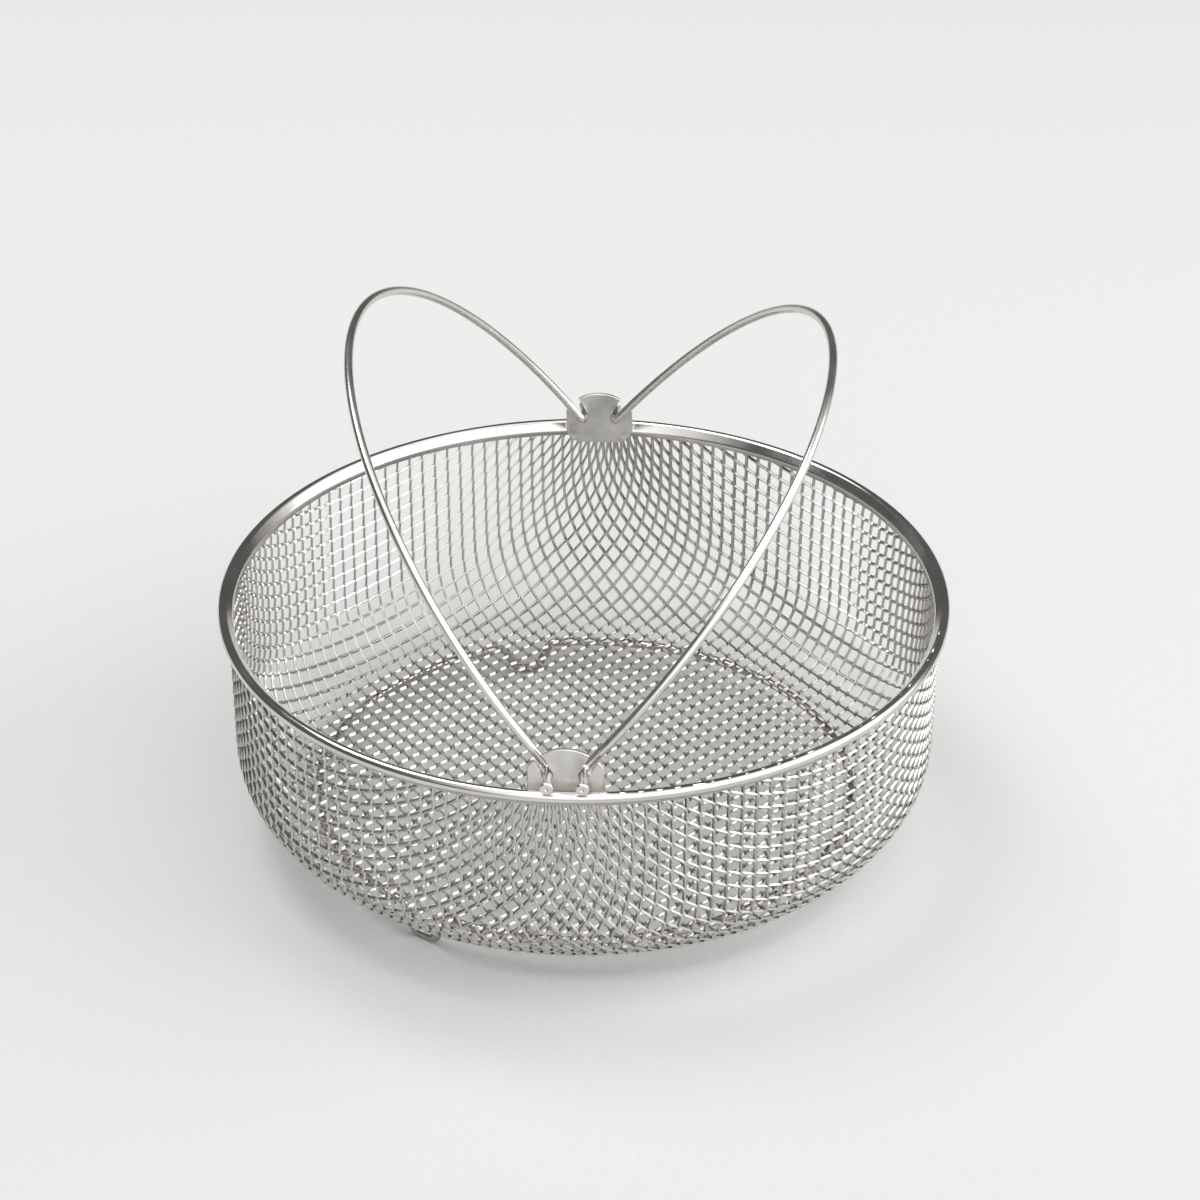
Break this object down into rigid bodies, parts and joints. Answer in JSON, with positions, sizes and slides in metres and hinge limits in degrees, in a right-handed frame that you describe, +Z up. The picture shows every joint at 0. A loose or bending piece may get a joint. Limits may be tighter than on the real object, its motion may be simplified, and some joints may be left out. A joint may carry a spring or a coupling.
{
  "type": "mesh basket strainer",
  "caption": "Round basket strainer in expanded stainless mesh, with a rolled rim, a wire foot ring with bent feet and folding bails.",
  "frame": {"origin": "on the bowl's axis, in the plane that the three feet stand on", "axes": "+Z up out of the bowl's mouth, +Y towards the rear ear (the bails' hinges run along Y), +X towards the right-hand bail"},
  "size_m": [0.2, 0.2036, 0.1504],
  "materials": {
    "expanded_mesh": "gloss",
    "polished_strip": "polished",
    "polished_wire": "polished",
    "satin_plate": "satin",
    "weld_metal": "matte"
  },
  "bodies": {
    "basket": {"mesh_bowl": "expanded_mesh", "rim_band": "polished_strip", "rim_core_wire": "polished_wire", "foot_ring": "polished_wire", "foot_ring_welds": "weld_metal", "ear_rear": "satin_plate", "ear_rear_welds": "weld_metal", "ear_front": "satin_plate", "ear_front_welds": "weld_metal"},
    "bail_left": {"bail_left": "polished_wire"},
    "bail_right": {"bail_right": "polished_wire"}
  },
  "joints": [
    {"name": "bail_left_hinge", "type": "hinge", "parent": "basket", "child": "bail_left", "pos_m": [-0.0045, 0, 0.0752], "axis": [0, 1, 0], "range_deg": [-53.5, 39.2]},
    {"name": "bail_right_hinge", "type": "hinge", "parent": "basket", "child": "bail_right", "pos_m": [0.0045, 0, 0.0752], "axis": [0, -1, 0], "range_deg": [-49.9, 42.8]}
  ]
}
